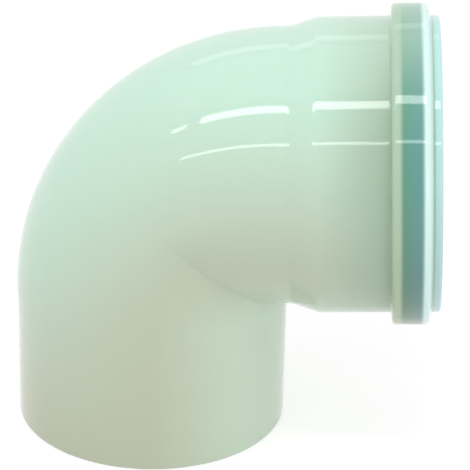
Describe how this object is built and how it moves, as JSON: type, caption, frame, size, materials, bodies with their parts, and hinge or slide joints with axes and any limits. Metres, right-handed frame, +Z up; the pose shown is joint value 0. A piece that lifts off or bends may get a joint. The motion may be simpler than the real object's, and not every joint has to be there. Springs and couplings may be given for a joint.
{
  "type": "flue elbow",
  "caption": "Flue pipe elbow of translucent plastic with a plain spigot at one end and a beaded socket with a rubber lip seal at the other.",
  "frame": {"origin": "centre of the spigot's end face", "axes": "+Z up along the spigot's axis into the elbow, +X the side that the socket points to, +Y across the bend's plane"},
  "size_m": [0.1709, 0.1268, 0.1766],
  "materials": {
    "natural_polypropylene": "glossy, milky translucent, uncoloured moulding",
    "seal_rubber": "matt black, lightly greased"
  },
  "bodies": {
    "root": {"elbow_body": "natural_polypropylene", "lip_seal_ring": "seal_rubber"}
  },
  "joints": []
}
